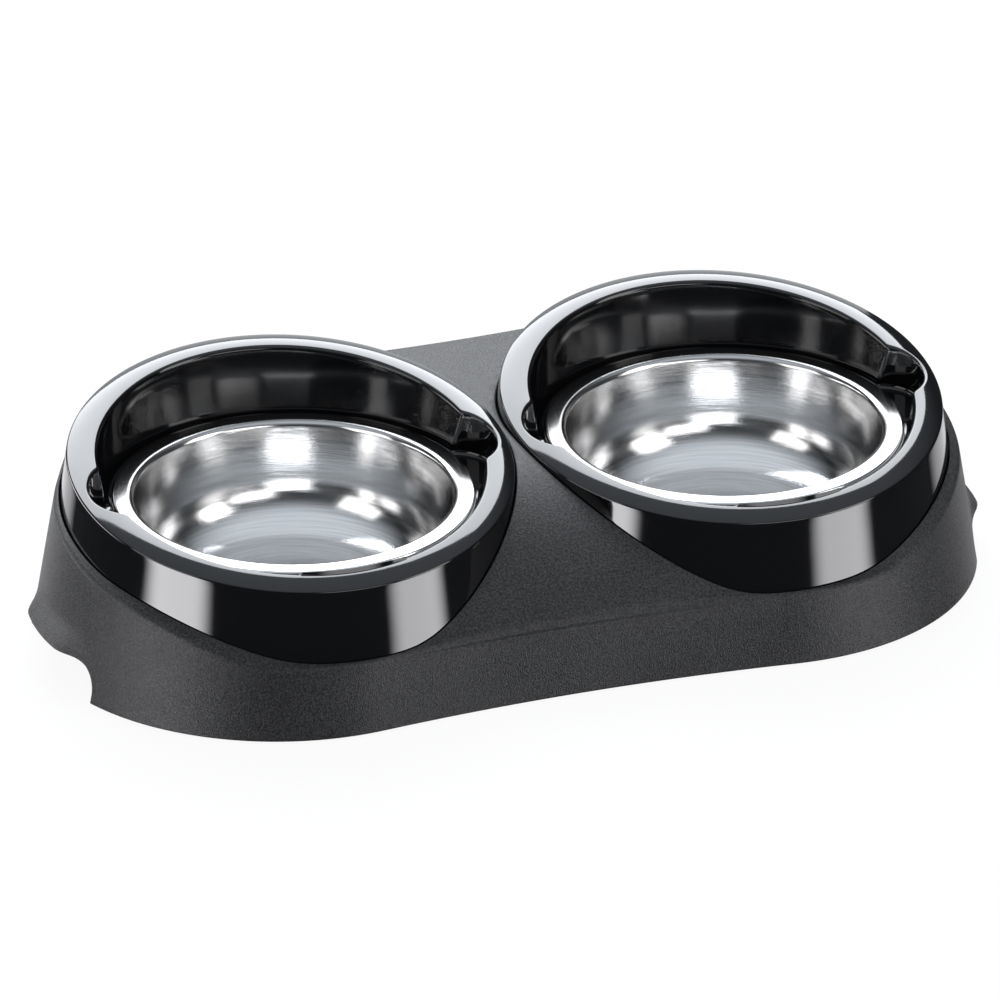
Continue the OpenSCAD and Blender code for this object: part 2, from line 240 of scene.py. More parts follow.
STAND_COLUMNS = 2 * (END_STEPS + WAIST_STEPS)


def lerp(a, b, share):
    return a + (b - a) * share


def ease(share):
    share = max(0, min(1, share))
    return share * share * (3 - 2 * share)


def outline(column, inset, half):
    """A point of the stand's outline, drawn in by inset: right end, back waist, left end, front waist."""
    column %= STAND_COLUMNS
    step = column % (END_STEPS + WAIST_STEPS)
    turned = 1 if column < END_STEPS + WAIST_STEPS else -1
    waist_r = (END_OFFSET ** 2 + half ** 2 - END_R ** 2) / (2 * (END_R - half))
    turn = atan(END_OFFSET / (half + waist_r))
    if step <= END_STEPS:
        angle = lerp(-pi / 2 - turn, pi / 2 + turn, step / END_STEPS)
        return turned * Vector((END_OFFSET + (END_R - inset) * cos(angle), (END_R - inset) * sin(angle)))
    angle = lerp(turn, -turn, (step - END_STEPS) / WAIST_STEPS)
    radius = waist_r + inset
    return turned * Vector((radius * sin(angle), half + waist_r - radius * cos(angle)))


def draft_run(column):
    y = outline(column, 0, WAIST_HALF).y / END_R
    return lerp(FRONT_RUN, BACK_RUN, ease((y - FADE_FROM) / (1 - FADE_FROM)))


def brow(y, z):
    """The brow flares out over a handhold, most at the arch's crown."""
    across = ease(4 * (BROW_HALF - abs(y) / ARCH_W))
    down = max(0, min(1, (STEP_Z - z) / (STEP_Z - FLOOR_GAP - ARCH_H)))
    return BROW_FLARE * across * down * down


def skirt(column, z, half, inset=0):
    inset += draft_run(column) * (z - FLOOR_GAP)
    point = outline(column, inset, half)
    if abs(point.x) > END_OFFSET:
        point = outline(column, inset - brow(point.y, z), half)
    return Vector((*point, z))


def fall(distance, radius):
    return radius - sqrt(radius * radius - distance * distance)


def top_z(x, y):
    """The deck's height: it rolls down to the front and falls to the ends, less so at the back."""
    end_fall = fall(max(0, abs(x) - FALL_X), END_FALL_R) * lerp(1, BACK_FALL, ease(y / 0.075 + 0.47))
    z = DECK_TOP - fall(min(0, y - CREST_Y), DECK_ROLL_R) - end_fall
    return LIP_Z + LIP_EASE * log(1 + exp((z - LIP_Z) / LIP_EASE))


def deck_edge(column, inset=0):
    z = LIP_Z
    for _ in range(6):
        point = outline(column, draft_run(column) * (z - FLOOR_GAP), UPPER_WAIST_HALF)
        z = top_z(*point)
    point = outline(column, draft_run(column) * (z - FLOOR_GAP) + inset, UPPER_WAIST_HALF)
    return Vector((*point, top_z(*point) if inset else z))


def stand_rows():
    edges = [deck_edge(column) for column in range(STAND_COLUMNS)]
    rounds = [min(EDGE_ROUND, 0.9 * (edge.z - STEP_Z - STEP_RISE)) for edge in edges]

    def foot_edge(column, angle):
        return skirt(column, FLOOR_GAP + BOTTOM_ROUND * (1 - sin(angle)), WAIST_HALF,
                     BOTTOM_ROUND * (1 - cos(angle)))

    def lower_skirt(column, share):
        return skirt(column, lerp(FLOOR_GAP + BOTTOM_ROUND, STEP_Z - STEP_RISE, share), WAIST_HALF)

    def step(column, rise, share):
        return skirt(column, STEP_Z + rise, lerp(WAIST_HALF, UPPER_WAIST_HALF, share))

    def upper_skirt(column, share):
        top = edges[column].z - rounds[column]
        return skirt(column, lerp(min(STEP_Z + 2 * STEP_RISE, top), top, share), UPPER_WAIST_HALF)

    def rounded(column, share):
        start = skirt(column, edges[column].z - rounds[column], UPPER_WAIST_HALF)
        middle, end = edges[column], deck_edge(column, rounds[column])
        return start.lerp(middle, share).lerp(middle.lerp(end, share), share)

    def deck(column, share):
        edge = rounded(column, 1)
        middle = outline(column, 0, UPPER_WAIST_HALF).x
        x = lerp(edge.x, max(-END_OFFSET, min(END_OFFSET, middle)), share)
        y = edge.y * (1 - share)
        return Vector((x, y, top_z(x, y)))

    def ceiling(column, share):
        edge = deck_edge(column, STAND_WALL)
        middle = outline(column, 0, UPPER_WAIST_HALF).x
        x = lerp(edge.x, max(-END_OFFSET, min(END_OFFSET, middle)), share)
        y = edge.y * (1 - share)
        return Vector((x, y, top_z(x, y) - STAND_WALL))

    def inner_wall(column, share):
        z = lerp(FLOOR_GAP, ceiling(column, 0).z, share)
        inset = draft_run(column) * (z - FLOOR_GAP) + STAND_WALL
        return Vector((*outline(column, inset, UPPER_WAIST_HALF), z))

    rows = [(ceiling, k / 12) for k in range(12, 0, -1)]
    rows += [(inner_wall, share) for share in (1, 0.85, 0.6, 0.4, 0.2, 0)]
    rows += [(foot_edge, pi / 2 * k / 4) for k in (4, 3, 2, 1)]
    rows += [(lower_skirt, k / 18) for k in range(19)]
    rows += [(step, STEP_RISE * k / 3, share) for k, share in ((-1, 0.03), (0, 0.15), (3, 0.85), (4, 0.97))]
    rows += [(upper_skirt, k / 8) for k in range(8)]
    rows += [(rounded, k / 8) for k in range(9)]
    rows += [(deck, k / 44) for k in range(1, 45)]
    return rows


def spread(name, columns, rows):
    """A grid wrapped round a piece: each row is a function and its values, called for every column."""
    bpy.ops.object.select_all(action="DESELECT")
    bpy.ops.mesh.primitive_grid_add(x_subdivisions=columns, y_subdivisions=len(rows) - 1, size=2)
    piece = bpy.context.object
    piece.name = name
    for vertex in piece.data.vertices:
        column = round((vertex.co.x + 1) / 2 * columns) % columns
        shape, *values = rows[round((vertex.co.y + 1) / 2 * (len(rows) - 1))]
        vertex.co = shape(column, *values)
    bpy.ops.object.mode_set(mode="EDIT")
    bpy.ops.mesh.select_all(action="SELECT")
    bpy.ops.mesh.remove_doubles(threshold=MERGE)
    bpy.ops.mesh.normals_make_consistent(inside=False)
    bpy.ops.object.mode_set(mode="OBJECT")
    return piece


def add_modifier(piece, kind, **settings):
    """Adds a modifier to a piece and applies it."""
    modifier = piece.modifiers.new(kind.lower(), kind)
    for name, value in settings.items():
        setattr(modifier, name, value)
    bpy.context.view_layer.objects.active = piece
    bpy.ops.object.modifier_apply(modifier=modifier.name)


def smooth(piece, angle):
    bpy.ops.object.select_all(action="DESELECT")
    piece.select_set(True)
    bpy.context.view_layer.objects.active = piece
    bpy.ops.object.shade_smooth_by_angle(angle=radians(angle))


def settle(piece, offset=(0, 0, 0)):
    """Puts a piece's place into its mesh, moved by offset, and leaves its object at the origin."""
    piece.data.transform(Matrix.Translation(offset) @ piece.matrix_world)
    piece.matrix_world = Matrix.Identity(4)


def mirrored_copy(piece, name):
    """A copy with a mesh of its own, mirrored across the middle of the row."""
    twin = piece.copy()
    twin.data = piece.data.copy()
    twin.name = name
    scene.collection.objects.link(twin)
    twin.data.transform(Matrix.Scale(-1, 4, (1, 0, 0)))
    twin.data.flip_normals()
    return twin


def join(pieces):
    bpy.ops.object.select_all(action="DESELECT")
    for piece in pieces:
        piece.select_set(True)
    bpy.context.view_layer.objects.active = pieces[0]
    bpy.ops.object.join()
    return pieces[0]


def carve(piece, tool, operation="DIFFERENCE"):
    add_modifier(piece, "BOOLEAN", operation=operation, object=tool, solver="EXACT")
    bpy.data.objects.remove(tool)


def clear_slivers(piece):
    """Dissolves what a cut left too thin to be a face, and splits its hollow faces."""
    bpy.ops.object.select_all(action="DESELECT")
    piece.select_set(True)
    bpy.context.view_layer.objects.active = piece
    bpy.ops.object.mode_set(mode="EDIT")
    bpy.ops.mesh.select_all(action="SELECT")
    bpy.ops.mesh.dissolve_degenerate(threshold=SLIVER)
    bpy.ops.mesh.select_all(action="SELECT")
    bpy.ops.mesh.vert_connect_concave()
    bpy.ops.object.mode_set(mode="OBJECT")


# What a collar's socket shares with the collar's drum that stands in it.
TILT = radians(9.6)
RIM_Z = 0.0737
RIM_FLAT_R, CROWN_R, EDGE_R = 0.0762, 0.026, 0.0012
EDGE_TURN = asin((RIM_R - RIM_FLAT_R - EDGE_R) / (CROWN_R - EDGE_R))
EDGE_DEPTH = CROWN_R - (CROWN_R - EDGE_R) * cos(EDGE_TURN)
DRAFT = radians(8)
DRUM_DROP, FOOT_RISE = 0.0288, 0.0038
WEB, DRUM_GAP = 0.0019, 0.0003
SKIN = 0.0016
SKIN_R = END_R - BACK_RUN * DECK_TOP - SKIN
LIP_FLARE = 0.0009
SOCKET_COLUMNS, SOCKET_TOP, LID_RISE = 240, 0.13, 0.005
TOOL_UNDER = 0.01


def tilted(x, y, z):
    """A point given in the collar's own frame, whose z = 0 is the rim's top plane."""
    return Vector((x, y * cos(TILT) - z * sin(TILT), y * sin(TILT) + z * cos(TILT) + RIM_Z))


def edge_point(angle, turn):
    """A point of the tight round between the rim's crown and the drum's wall."""
    radius = RIM_R - EDGE_R + EDGE_R * sin(turn)
    return tilted(radius * cos(angle), radius * sin(angle), EDGE_R * cos(turn) - EDGE_DEPTH)


def wall_turn(angle):
    """Where that round meets the drum's wall, whose draft is the same all the way round."""
    return pi / 2 - DRAFT + TILT * sin(angle)


def drum_foot(angle):
    return DRUM_DROP - FOOT_RISE * sin(angle)


def drum_point(angle, drop, gap):
    """A point of a right-hand drum's wall or its socket's, clear of the web beside it and the skirt."""
    out = tan(DRAFT) * drop + gap
    point = edge_point(angle, wall_turn(angle)) + Vector((out * cos(angle), out * sin(angle), -drop))
    x = max(point.x + PITCH / 2, WEB / 2 + DRUM_GAP - gap)
    over = max(0, x - END_OFFSET)
    squeeze = min(1, (SKIN_R - DRUM_GAP + gap) / max(hypot(over, point.y), 1e-6))
    return Vector((min(x, END_OFFSET) + over * squeeze, point.y * squeeze, point.z))


def socket_rows():
    """The tool that cuts a socket: the drum and its gap, flared a little where it leaves the deck."""
    angles = [2 * pi * column / SOCKET_COLUMNS for column in range(SOCKET_COLUMNS)]
    mouths = []
    for angle in angles:
        high, low = -4 * LID_RISE, drum_foot(angle)
        for _ in range(24):
            depth = (high + low) / 2
            point = drum_point(angle, depth, DRUM_GAP)
            if point.z > top_z(point.x, point.y):
                high = depth
            else:
                low = depth
        mouths.append(depth)

    def middle(column):
        front, back_end = (drum_point(turn, drum_foot(turn), 0) for turn in (-pi / 2, pi / 2))
        return Vector((PITCH / 2, 0, lerp(front.z, back_end.z, 0.5)))

    def wall(column, share):
        angle = angles[column]
        depth = lerp(drum_foot(angle), mouths[column] + LIP_FLARE, share)
        return drum_point(angle, depth, DRUM_GAP)

    def flare(column, turn):
        depth = mouths[column] + LIP_FLARE * (1 - sin(turn))
        return drum_point(angles[column], depth, DRUM_GAP + LIP_FLARE * (1 - cos(turn)))

    def above(column, rise, out):
        point = drum_point(angles[column], mouths[column], DRUM_GAP + out)
        return Vector((point.x, point.y, point.z + rise))

    def lid(column, share):
        point = drum_point(angles[column], -LID_RISE, DRUM_GAP)
        return Vector((PITCH / 2, 0, SOCKET_TOP)).lerp(Vector((point.x, point.y, SOCKET_TOP)), share)

    rows = [(middle,)] + [(wall, k / 6) for k in range(7)]
    rows += [(flare, radians(turn)) for turn in (25, 50, 75)]
    rows += [(above, 0.0003, LIP_FLARE + 0.0004), (lid, 1), (lid, 0)]
    return rows


def arch(side):
    """The tool that cuts a handhold: a block with two rounded upper corners."""
    bpy.ops.object.select_all(action="DESELECT")
    low, high = -TOOL_UNDER, FLOOR_GAP + ARCH_H
    bpy.ops.mesh.primitive_cube_add(size=1, location=(side * (END_OFFSET + END_R), 0, (low + high) / 2))
    block = bpy.context.object
    bpy.ops.object.mode_set(mode="EDIT")
    bpy.ops.transform.resize(value=(END_R, ARCH_W, high - low))
    bpy.ops.object.mode_set(mode="OBJECT")
    settle(block)
    choose(block, "EDGE", lambda ends: all(end.z > 0 for end in ends) and abs(ends[0].y - ends[1].y) < 1e-4)
    bpy.ops.object.mode_set(mode="EDIT")
    bpy.ops.mesh.bevel(offset=ARCH_CORNER_R, segments=12)
    bpy.ops.object.mode_set(mode="OBJECT")
    return block


def choose(piece, kind, test):
    """Selects the edges or faces whose corners pass a test, for the edit operators that follow."""
    bpy.ops.object.select_all(action="DESELECT")
    piece.select_set(True)
    bpy.context.view_layer.objects.active = piece
    bpy.ops.object.mode_set(mode="EDIT")
    bpy.ops.mesh.select_mode(type=kind)
    bpy.ops.mesh.select_all(action="DESELECT")
    bpy.ops.object.mode_set(mode="OBJECT")
    mesh = piece.data
    for part in (mesh.edges if kind == "EDGE" else mesh.polygons):
        part.select = test([mesh.vertices[corner].co for corner in part.vertices])


RIB_T, RIB_SHIFT, RIB_REACH, RIB_TOP_AT = 0.0022, 0.66 * RIM_R, 0.65 * END_R, 0.9 * END_R
BOSS_WALL = 0.0014
FOOT_R, FOOT_T, FOOT_GAP = 0.008, 0.0028, 0.00015
FOOT_REACH = END_R - STAND_WALL - FOOT_R
FOOT_ANGLE = radians(64)
FOOT_X = END_OFFSET + FOOT_REACH * cos(FOOT_ANGLE)
FOOT_Y = FOOT_REACH * sin(FOOT_ANGLE)
FEET = {"front_left_foot": (-1, -1), "front_right_foot": (1, -1),
        "back_left_foot": (-1, 1), "back_right_foot": (1, 1)}


def posts(radius, low, high):
    """Round posts at the four feet, as bosses or as the tool for their recesses."""
    made = []
    for sx, sy in FEET.values():
        bpy.ops.object.select_all(action="DESELECT")
        bpy.ops.mesh.primitive_cylinder_add(vertices=64, radius=radius, depth=high - low,
                                            location=(sx * FOOT_X, sy * FOOT_Y, (low + high) / 2))
        made.append(bpy.context.object)
    return join(made)


def wall_y(x, z, half, way):
    """How far to the front or back the skirt's wall stands at a rib's plane and height."""
    low, high = END_STEPS / 2, END_STEPS + WAIST_STEPS / 2
    for _ in range(24):
        middle = (low + high) / 2
        wall = skirt(middle if way > 0 else END_STEPS - middle, z, half, STAND_WALL / 2)
        if wall.x > x:
            low = middle
        else:
            high = middle
    return wall.y


def ribs():
    """Eight ribs that stand between the skirt and the collars' lower edges."""
    made = []
    for side, shift, way in product((-1, 1), repeat=3):
        x = PITCH / 2 + shift * RIB_SHIFT
        bpy.ops.object.select_all(action="DESELECT")
        bpy.ops.mesh.primitive_cube_add(size=1)
        rib = bpy.context.object
        for vertex in rib.data.vertices:
            high = vertex.co.z > 0
            outer = vertex.co.y * way > 0
            z = top_z(x, way * RIB_TOP_AT) - STAND_WALL / 2 if high else 2 * FLOOR_GAP
            y = wall_y(x, z, UPPER_WAIST_HALF if high else WAIST_HALF, way) if outer else way * RIB_REACH
            vertex.co = (side * x + vertex.co.x * RIB_T, y, z)
        made.append(rib)
    return join(made)


def matte_charcoal():
    """Spark-eroded matte plastic: a fine even grain that catches the light here and there."""
    material, shade = new_material("matte_charcoal")
    place = shade.node("ShaderNodeTexCoord", output="Object")
    grain = shade.node("ShaderNodeTexNoise", inputs={"Vector": place, "Scale": 1900.0, "Detail": 2.0})
    cells = shade.node("ShaderNodeTexVoronoi", inputs={"Vector": place, "Scale": 1700.0})
    specks = shade.node("ShaderNodeTexNoise", inputs={"Vector": place, "Scale": 1300.0, "Detail": 1.0})
    clouds = shade.node("ShaderNodeTexNoise", inputs={"Vector": place, "Scale": 22.0, "Detail": 3.0})
    height = grain * 0.6 + cells * 0.6
    bump = shade.node("ShaderNodeBump", inputs={"Height": height, "Strength": 0.8, "Distance": 0.0002})
    spotted = clouds * 0.25 + specks * 0.75
    tone = shade.node("ShaderNodeValToRGB", {"stops": [
        (0.36, (0.010, 0.010, 0.0102)), (0.66, (0.050, 0.0492, 0.051))]}, {0: spotted})
    surface = shade.node("ShaderNodeBsdfPrincipled", inputs={
        "Base Color": tone, "Roughness": 0.43 + grain * 0.1, "Specular IOR Level": 0.22,
        "Normal": bump})
    shade.node("ShaderNodeOutputMaterial", inputs={"Surface": surface})
    return material


stand = spread("stand_shell", STAND_COLUMNS, stand_rows())
carve(stand, join([ribs(), posts(FOOT_R + BOSS_WALL, 1.2 * FLOOR_GAP, FOOT_T + 2 * STAND_WALL)]), "UNION")
right_socket = spread("right_socket", SOCKET_COLUMNS, socket_rows())
left_socket = mirrored_copy(right_socket, "left_socket")
recesses = posts(FOOT_R + FOOT_GAP, -TOOL_UNDER, FOOT_T)
carve(stand, join([right_socket, left_socket, arch(-1), arch(1), recesses]))
clear_slivers(stand)
smooth(stand, 35)
stand.data.materials.clear()
stand.data.materials.append(matte_charcoal())
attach(stand, "stand")
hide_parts("stand")


# The collars: one glossy black moulding each, a drum whose rim tilts to the front around a level well.
# Each is a single wall of even thickness, from the neck under the seat over the rim to the drum's foot.
LIP_R = 0.0016
COLLAR_WALL = 0.0022
BOWL_FORWARD = 0.003
SEAT_Z = 0.0578
WELL_R, WELL_RUN = 0.072, tan(radians(9.7))
NOTCH_R, NOTCH_OFFSET, MOUTH_R = 0.0173, 0.0644, 0.0042
NECK_R, NECK_H, NECK_ROUND = 0.0637, 0.007, 0.0006
NUDGE = 0.0001
FLOOR_FILLET = 0.0022
WELL_STEPS, MOUTH_STEPS, NOTCH_STEPS = 46, 8, 14
COLLAR_COLUMNS = 4 * (WELL_STEPS + MOUTH_STEPS + NOTCH_STEPS)


def untilted(x, y, z):
    z -= RIM_Z
    return Vector((x, y * cos(TILT) + z * sin(TILT), z * cos(TILT) - y * sin(TILT)))


def crown_depth(radius):
    """How far the rim's crown has fallen below its flat at a radius."""
    return fall(max(0, radius - RIM_FLAT_R), CROWN_R)


def rim_height(x, y):
    return RIM_Z + y * tan(TILT) - crown_depth(hypot(x, y / cos(TILT))) / cos(TILT)


def well_outline(column, z, inset=0):
    """A point of the well's plan at height z, notches included, and the direction out of the well there."""
    quarter, step = divmod(column, COLLAR_COLUMNS // 4)
    if quarter % 2:
        step = COLLAR_COLUMNS // 4 - step
    radius = WELL_R + WELL_RUN * (z - SEAT_Z) - inset
    notch = NOTCH_R - inset
    mouth = MOUTH_R + inset
    mouth_x = ((radius + mouth) ** 2 - (notch + mouth) ** 2 + NOTCH_OFFSET ** 2) / (2 * NOTCH_OFFSET)
    mouth_y = sqrt((radius + mouth) ** 2 - mouth_x ** 2)
    well_end = atan2(mouth_y, mouth_x)
    notch_end = atan2(mouth_y, mouth_x - NOTCH_OFFSET)
    if step <= NOTCH_STEPS:
        angle = notch_end * step / NOTCH_STEPS
        out = Vector((cos(angle), sin(angle)))
        point = Vector((NOTCH_OFFSET, 0)) + notch * out
    elif step <= NOTCH_STEPS + MOUTH_STEPS:
        angle = lerp(notch_end, well_end, (step - NOTCH_STEPS) / MOUTH_STEPS)
        out = Vector((cos(angle), sin(angle)))
        point = Vector((mouth_x, mouth_y)) - mouth * out
    else:
        angle = lerp(well_end, pi / 2, (step - NOTCH_STEPS - MOUTH_STEPS) / WELL_STEPS)
        out = Vector((cos(angle), sin(angle)))
        point = radius * out
    flip = ((1, 1), (-1, 1), (-1, -1), (1, -1))[quarter]
    return (Vector((point.x * flip[0], point.y * flip[1] - BOWL_FORWARD)),
            Vector((out.x * flip[0], out.y * flip[1])))


def lip_of(column):
    """Where a column of the well's wall turns into the rim: the wall's top, the way out and the slope."""
    wall_top = RIM_Z
    for _ in range(6):
        point, out = well_outline(column, wall_top)
        end = point + LIP_R * out
        nearby = end + NUDGE * out
        slope = (rim_height(*nearby) - rim_height(*end)) / NUDGE
        wall_top = rim_height(*end) - LIP_R * (1 + slope)
    return wall_top, out, slope


def collar_rows():
    """The collar's section, from the neck's foot to the drum's foot, as functions of the column."""
    lips = [lip_of(column) for column in range(COLLAR_COLUMNS)]
    ends = []
    for column, (wall_top, out, slope) in enumerate(lips):
        point, _ = well_outline(column, wall_top)
        end = point + LIP_R * out
        ends.append(untilted(end.x, end.y, rim_height(*end)))

    def neck(column, radius, z):
        point, _ = well_outline(column, SEAT_Z)
        angle = atan2(point.y + BOWL_FORWARD, point.x)
        return Vector((radius * cos(angle), radius * sin(angle) - BOWL_FORWARD, z))

    def seat(column, share):
        point, _ = well_outline(column, SEAT_Z + FLOOR_FILLET, FLOOR_FILLET)
        inner = neck(column, NECK_R + NECK_ROUND, SEAT_Z)
        return inner.lerp(Vector((*point, SEAT_Z)), share)

    def floor_fillet(column, angle):
        point, _ = well_outline(column, SEAT_Z + FLOOR_FILLET, FLOOR_FILLET * (1 - sin(angle)))
        return Vector((*point, SEAT_Z + FLOOR_FILLET * (1 - cos(angle))))

    def wall(column, share):
        z = lerp(SEAT_Z + FLOOR_FILLET, lips[column][0], share)
        return Vector((*well_outline(column, z)[0], z))

    def lip(column, angle):
        wall_top, out, slope = lips[column]
        away = LIP_R * (1 - cos(angle))
        point = well_outline(column, wall_top)[0] + away * out
        return Vector((*point, wall_top + LIP_R * sin(angle) + slope * away))

    def bearing(column):
        return atan2(ends[column].y, ends[column].x)

    def crown(column, share):
        radius = lerp(hypot(ends[column].x, ends[column].y), RIM_FLAT_R + CROWN_R * sin(EDGE_TURN), share)
        angle = bearing(column)
        return tilted(radius * cos(angle), radius * sin(angle), -crown_depth(radius))

    def edge(column, share):
        angle = bearing(column)
        return edge_point(angle, lerp(EDGE_TURN, wall_turn(angle), share))

    def drum(column, share):
        angle = bearing(column)
        return drum_point(angle, drum_foot(angle) * share, 0) + Vector((-PITCH / 2, 0, 0))

    rows = [(neck, NECK_R, SEAT_Z - NECK_H), (neck, NECK_R, SEAT_Z - NECK_ROUND)]
    rows += [(neck, NECK_R + NECK_ROUND / 3, SEAT_Z - NECK_ROUND / 3), (seat, 0), (seat, 0.35), (seat, 0.7)]
    rows += [(floor_fillet, pi / 2 * k / 5) for k in range(6)]
    rows += [(wall, k / 14) for k in range(1, 15)]
    rows += [(lip, pi / 2 * k / 8) for k in range(1, 9)]
    rows += [(crown, k / 12) for k in range(1, 13)]
    rows += [(edge, k / 8) for k in range(1, 9)]
    rows += [(drum, k / 16) for k in range(1, 17)]
    return rows


def gloss_black():
    """Polished black plastic: faint waves from the mould, a little dust, and hairline scratches."""
    material, shade = new_material("gloss_black")
    place = shade.node("ShaderNodeTexCoord", output="Object")
    waves = shade.node("ShaderNodeTexNoise", inputs={"Vector": place, "Scale": 28.0, "Detail": 2.0})
    specks = shade.node("ShaderNodeTexNoise", inputs={"Vector": place, "Scale": 900.0, "Detail": 3.0})
    smears = shade.node("ShaderNodeTexNoise", inputs={"Vector": place, "Scale": 60.0, "Detail": 6.0})
    dust = shade.node("ShaderNodeMapRange", inputs={"Value": specks, "From Min": 0.72, "From Max": 0.8})
    rough = 0.045 + smears * 0.05 + dust * 0.3
    bump = shade.node("ShaderNodeBump", inputs={"Height": waves, "Strength": 0.04, "Distance": 0.002})
    surface = shade.node("ShaderNodeBsdfPrincipled", inputs={
        "Base Color": (0.0035, 0.0036, 0.0042, 1), "Roughness": rough, "IOR": 1.5, "Normal": bump})
    shade.node("ShaderNodeOutputMaterial", inputs={"Surface": surface})
    return material


right_collar = spread("right_collar", COLLAR_COLUMNS, collar_rows())
add_modifier(right_collar, "SOLIDIFY", thickness=COLLAR_WALL, offset=-1)
smooth(right_collar, 40)
right_collar.data.materials.append(gloss_black())
settle(right_collar, (PITCH / 2, 0, 0))
left_collar = mirrored_copy(right_collar, "left_collar")
for piece, node in ((left_collar, "left_holder"), (right_collar, "right_holder")):
    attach(piece, "stand")
    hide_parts(node)


# The bowls: each is pressed from one steel sheet, with a flat ring, a throat and an edge rolled under.
# It hangs by its ring on the collar's seat, level and a little in front of the collar's middle.
BOWL_R, BOWL_OPEN_R, BOWL_Z = 0.070, 0.0610, 0.0609
BOWL_DEPTH, SHEET, EDGE_ROLL = 0.042, 0.0008, 0.0014
THROAT_R, FLOOR_R = 0.003, 0.022
BOWL_DRAFT = radians(7)


def arc_points(centre, radius, start, end, steps):
    return [(centre[0] + radius * cos(lerp(start, end, k / steps)),
             centre[1] + radius * sin(lerp(start, end, k / steps))) for k in range(steps + 1)]


def bowl_profile():
    """The section from the floor's middle up the inside, round the rolled edge and back under."""
    floor = BOWL_Z - BOWL_DEPTH
    throat = (BOWL_OPEN_R + THROAT_R, BOWL_Z - THROAT_R)
    top_r = throat[0] - THROAT_R * cos(BOWL_DRAFT)
    top = throat[1] + THROAT_R * sin(BOWL_DRAFT)
    length = (top + FLOOR_R * sin(BOWL_DRAFT) - floor - FLOOR_R) / cos(BOWL_DRAFT)
    corner = (top_r - length * sin(BOWL_DRAFT) - FLOOR_R * cos(BOWL_DRAFT), floor + FLOOR_R)

    def side(out, rows):
        return ([(corner[0] * k / 6, floor - out) for k in range(1, 6)]
                + arc_points(corner, FLOOR_R + out, -pi / 2, -BOWL_DRAFT, 2 * rows)
                + arc_points(throat, THROAT_R - out, pi - BOWL_DRAFT, pi / 2, rows))

    edge = (BOWL_R - EDGE_ROLL, BOWL_Z - EDGE_ROLL)
    ring = [(lerp(throat[0], edge[0], k / 4), BOWL_Z) for k in range(1, 4)]
    return side(0, 10) + ring + arc_points(edge, EDGE_ROLL, pi / 2, -pi, 20) + side(SHEET, 6)[::-1]


def turned(name, profile, segments):
    """A piece turned round its axis: a disc, then each ring extruded from the last and scaled."""
    bpy.ops.object.select_all(action="DESELECT")
    bpy.ops.mesh.primitive_circle_add(vertices=segments, radius=profile[0][0], fill_type="TRIFAN")
    piece = bpy.context.object
    piece.name = name
    bpy.ops.object.mode_set(mode="EDIT")
    bpy.ops.mesh.select_mode(type="EDGE")
    bpy.ops.transform.translate(value=(0, 0, profile[0][1]))
    bpy.ops.mesh.select_all(action="DESELECT")
    bpy.ops.mesh.select_non_manifold()
    for (last_r, last_z), (radius, z) in zip(profile, profile[1:]):
        bpy.ops.mesh.extrude_region_move(TRANSFORM_OT_translate={"value": (0, 0, z - last_z)})
        bpy.ops.transform.resize(value=(radius / last_r, radius / last_r, 1), center_override=(0, 0, z))
    bpy.ops.mesh.edge_face_add()
    bpy.ops.mesh.select_all(action="SELECT")
    bpy.ops.mesh.normals_make_consistent(inside=False)
    bpy.ops.object.mode_set(mode="OBJECT")
    return piece


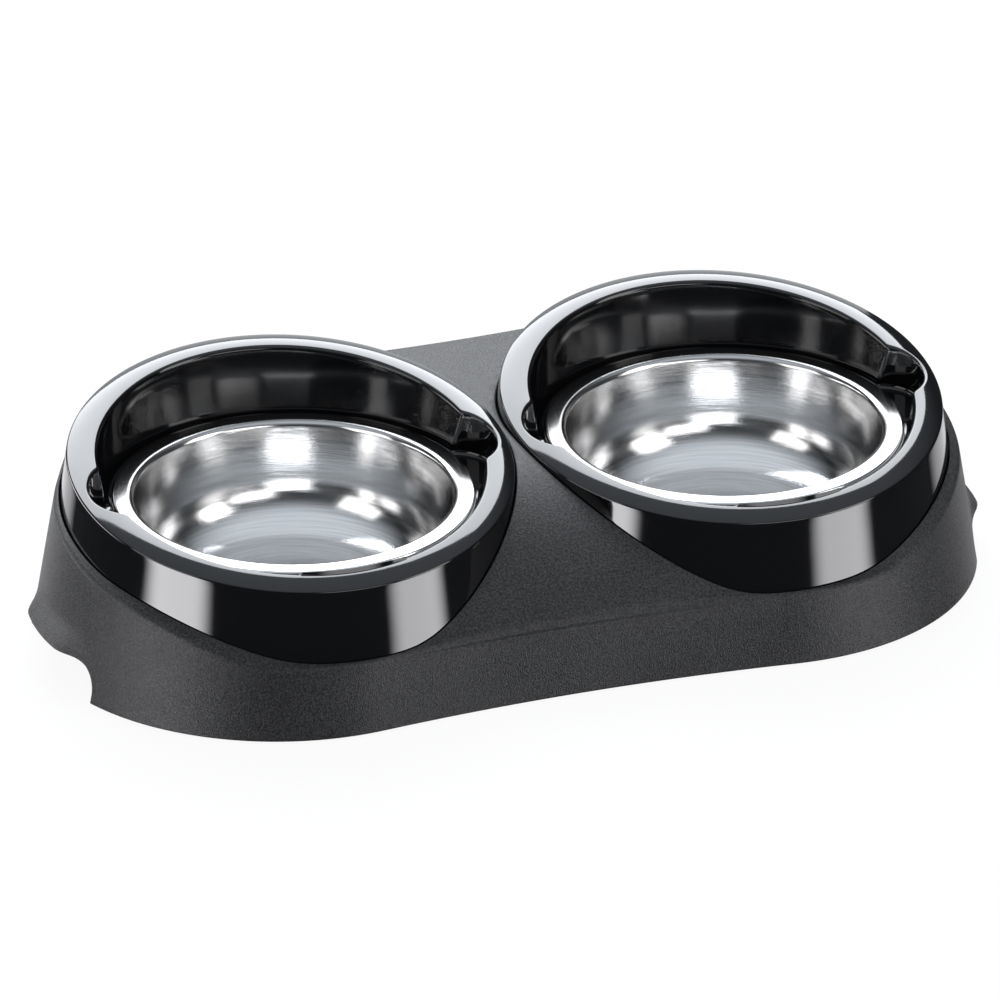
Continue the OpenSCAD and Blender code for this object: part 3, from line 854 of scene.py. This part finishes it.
def brushed_steel(name, side):
    """Steel brushed in circles, in the bump and the gloss; its ring's colour is darkened all round but at
    the front, a painted shade for its dark reflections.
    """
    material, shade = new_material(name)
    place = shade.node("ShaderNodeTexCoord", output="Object")
    on_axis = shade.node("ShaderNodeMapping", inputs={
        "Vector": place, "Location": (-side * PITCH / 2, BOWL_FORWARD, 0)})
    parts = [shade.node("ShaderNodeSeparateXYZ", inputs={0: on_axis}, output=axis) for axis in "XYZ"]
    radius = shade.maths("SQRT", parts[0] * parts[0] + parts[1] * parts[1])
    along = radius + 0.6 * parts[2]
    bearing = shade.maths("ARCTAN2", parts[1], parts[0])
    lines = shade.node("ShaderNodeCombineXYZ", inputs={0: along * 5200, 1: bearing * 2.5, 2: 0.0})
    scratches = shade.node("ShaderNodeTexNoise", inputs={"Vector": lines, "Scale": 1.0, "Detail": 4.0})
    wide = shade.node("ShaderNodeCombineXYZ", inputs={0: along * 900, 1: bearing * 1.5, 2: 3.0})
    bands = shade.node("ShaderNodeTexNoise", inputs={"Vector": wide, "Scale": 1.0, "Detail": 3.0})
    bump = shade.node("ShaderNodeBump", inputs={"Height": scratches, "Strength": 0.45, "Distance": 0.00005})
    tone = shade.node("ShaderNodeValToRGB", {"stops": [
        (0.25, (0.58, 0.575, 0.57)), (0.75, (0.72, 0.72, 0.72))]}, {0: bands})
    # Painted shade: the ring fades to dark grey at its sides and back, standing in for the dark reflections
    # of the brushed ring; its front keeps the steel's tone.
    ring_painted_shade = shade.node("ShaderNodeMapRange", inputs={
        "Value": radius, "From Min": BOWL_OPEN_R + 0.0002, "From Max": BOWL_OPEN_R + 0.0018,
        "To Max": 0.74})
    painted_shade_away_from_front = shade.node("ShaderNodeMapRange", inputs={
        "Value": parts[1], "From Min": -0.058, "From Max": -0.02})
    # The dark grey mixed in here is the painted shade's colour, not the steel's own.
    tone = shade.node("ShaderNodeMix", {"data_type": "RGBA", "blend_type": "MIX"}, {
        0: ring_painted_shade * painted_shade_away_from_front, 6: tone, 7: (0.07, 0.068, 0.066, 1)}, output=2)
    surface = shade.node("ShaderNodeBsdfPrincipled", inputs={
        "Base Color": tone, "Metallic": 1.0, "Roughness": 0.09 + bands * 0.08, "Normal": bump})
    shade.node("ShaderNodeOutputMaterial", inputs={"Surface": surface})
    return material


for side, node in ((-1, "left_bowl"), (1, "right_bowl")):
    bowl = turned(node + "_steel", bowl_profile(), 192)
    smooth(bowl, 35)
    bowl.data.materials.append(brushed_steel(node + "_brushed", side))
    settle(bowl, (side * PITCH / 2, -BOWL_FORWARD, 0))
    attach(bowl, node)
    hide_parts(node)


# The feet: four pale rubber discs, glued into recesses just inside the skirt.
# Each has a chamfered tread and stands a little proud, so that the skirt clears the floor.
FOOT_CHAMFER = 0.2 * FOOT_T


def pale_rubber():
    """Soft grey rubber with a faint mould grain and scuffs."""
    material, shade = new_material("pale_rubber")
    place = shade.node("ShaderNodeTexCoord", output="Object")
    grain = shade.node("ShaderNodeTexNoise", inputs={"Vector": place, "Scale": 700.0, "Detail": 3.0})
    scuffs = shade.node("ShaderNodeTexNoise", inputs={"Vector": place, "Scale": 90.0, "Detail": 4.0})
    tone = shade.node("ShaderNodeValToRGB", {"stops": [
        (0.3, (0.40, 0.40, 0.385)), (0.7, (0.48, 0.48, 0.46))]}, {0: scuffs})
    bump = shade.node("ShaderNodeBump", inputs={"Height": grain, "Strength": 0.3, "Distance": 0.0002})
    surface = shade.node("ShaderNodeBsdfPrincipled", inputs={
        "Base Color": tone, "Roughness": 0.62 + scuffs * 0.2, "Normal": bump})
    shade.node("ShaderNodeOutputMaterial", inputs={"Surface": surface})
    return material


rubber = pale_rubber()
for node, (sx, sy) in FEET.items():
    tread = [(0.25 * FOOT_R, 0), (0.625 * FOOT_R, 0), (FOOT_R - FOOT_CHAMFER, 0)]
    rim = arc_points((FOOT_R - FOOT_CHAMFER, FOOT_CHAMFER), FOOT_CHAMFER, -pi / 2, 0, 5)[1:]
    foot = turned(node + "_rubber", tread + rim + [(FOOT_R, FOOT_T), (0.5 * FOOT_R, FOOT_T)], 72)
    smooth(foot, 35)
    foot.data.materials.append(rubber)
    settle(foot, (sx * FOOT_X, sy * FOOT_Y, 0))
    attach(foot, "stand")
    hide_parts(node)
